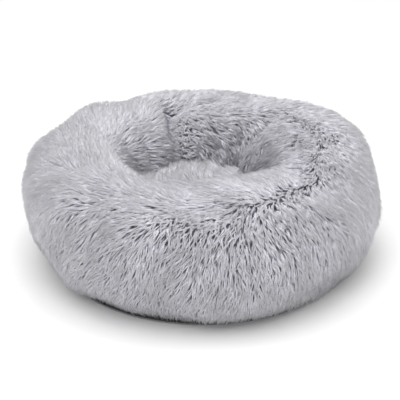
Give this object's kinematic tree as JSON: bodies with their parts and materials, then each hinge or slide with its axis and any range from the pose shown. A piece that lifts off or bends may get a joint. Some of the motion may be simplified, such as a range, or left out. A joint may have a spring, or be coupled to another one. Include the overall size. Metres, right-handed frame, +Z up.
{
  "type": "pet cushion bed",
  "caption": "Round long-pile plush pet bed: a stuffed fur ring around a sunken stuffed cushion, on a flat non-slip base panel.",
  "frame": {"origin": "centre of the underside, on the floor", "axes": "+Z up through the middle of the cushion; -Y is the front as usually shown, and the care label is at the back, +Y"},
  "size_m": [0.4999, 0.5, 0.188],
  "materials": {
    "ring_fur": "long silver-grey faux-fur pile",
    "cushion_fur": "long silver-grey faux-fur pile",
    "liner_cloth": "white nonwoven",
    "fibre_fill": "loose white hollow fibre",
    "base_cloth": "coated plain-weave cloth",
    "binding": "grosgrain tape",
    "seam_tape": "cotton twill tape",
    "thread": "twisted polyester thread",
    "grip_dots": "matt soft grip",
    "label_satin": "blank white satin"
  },
  "bodies": {
    "root": {"ring_fur_cover": "ring_fur", "ring_cross_seam_tape": "seam_tape", "ring_liner_bag": "liner_cloth", "ring_fibre_fill": "fibre_fill", "cushion_fur_cover": "cushion_fur", "cushion_lining_disc": "liner_cloth", "cushion_fibre_fill": "fibre_fill", "centre_seam_tape": "seam_tape", "centre_seam_stitches": "thread", "base_panel": "base_cloth", "base_seam_binding": "binding", "base_seam_stitches": "thread", "grip_dots": "grip_dots", "care_label": "label_satin"}
  },
  "joints": []
}
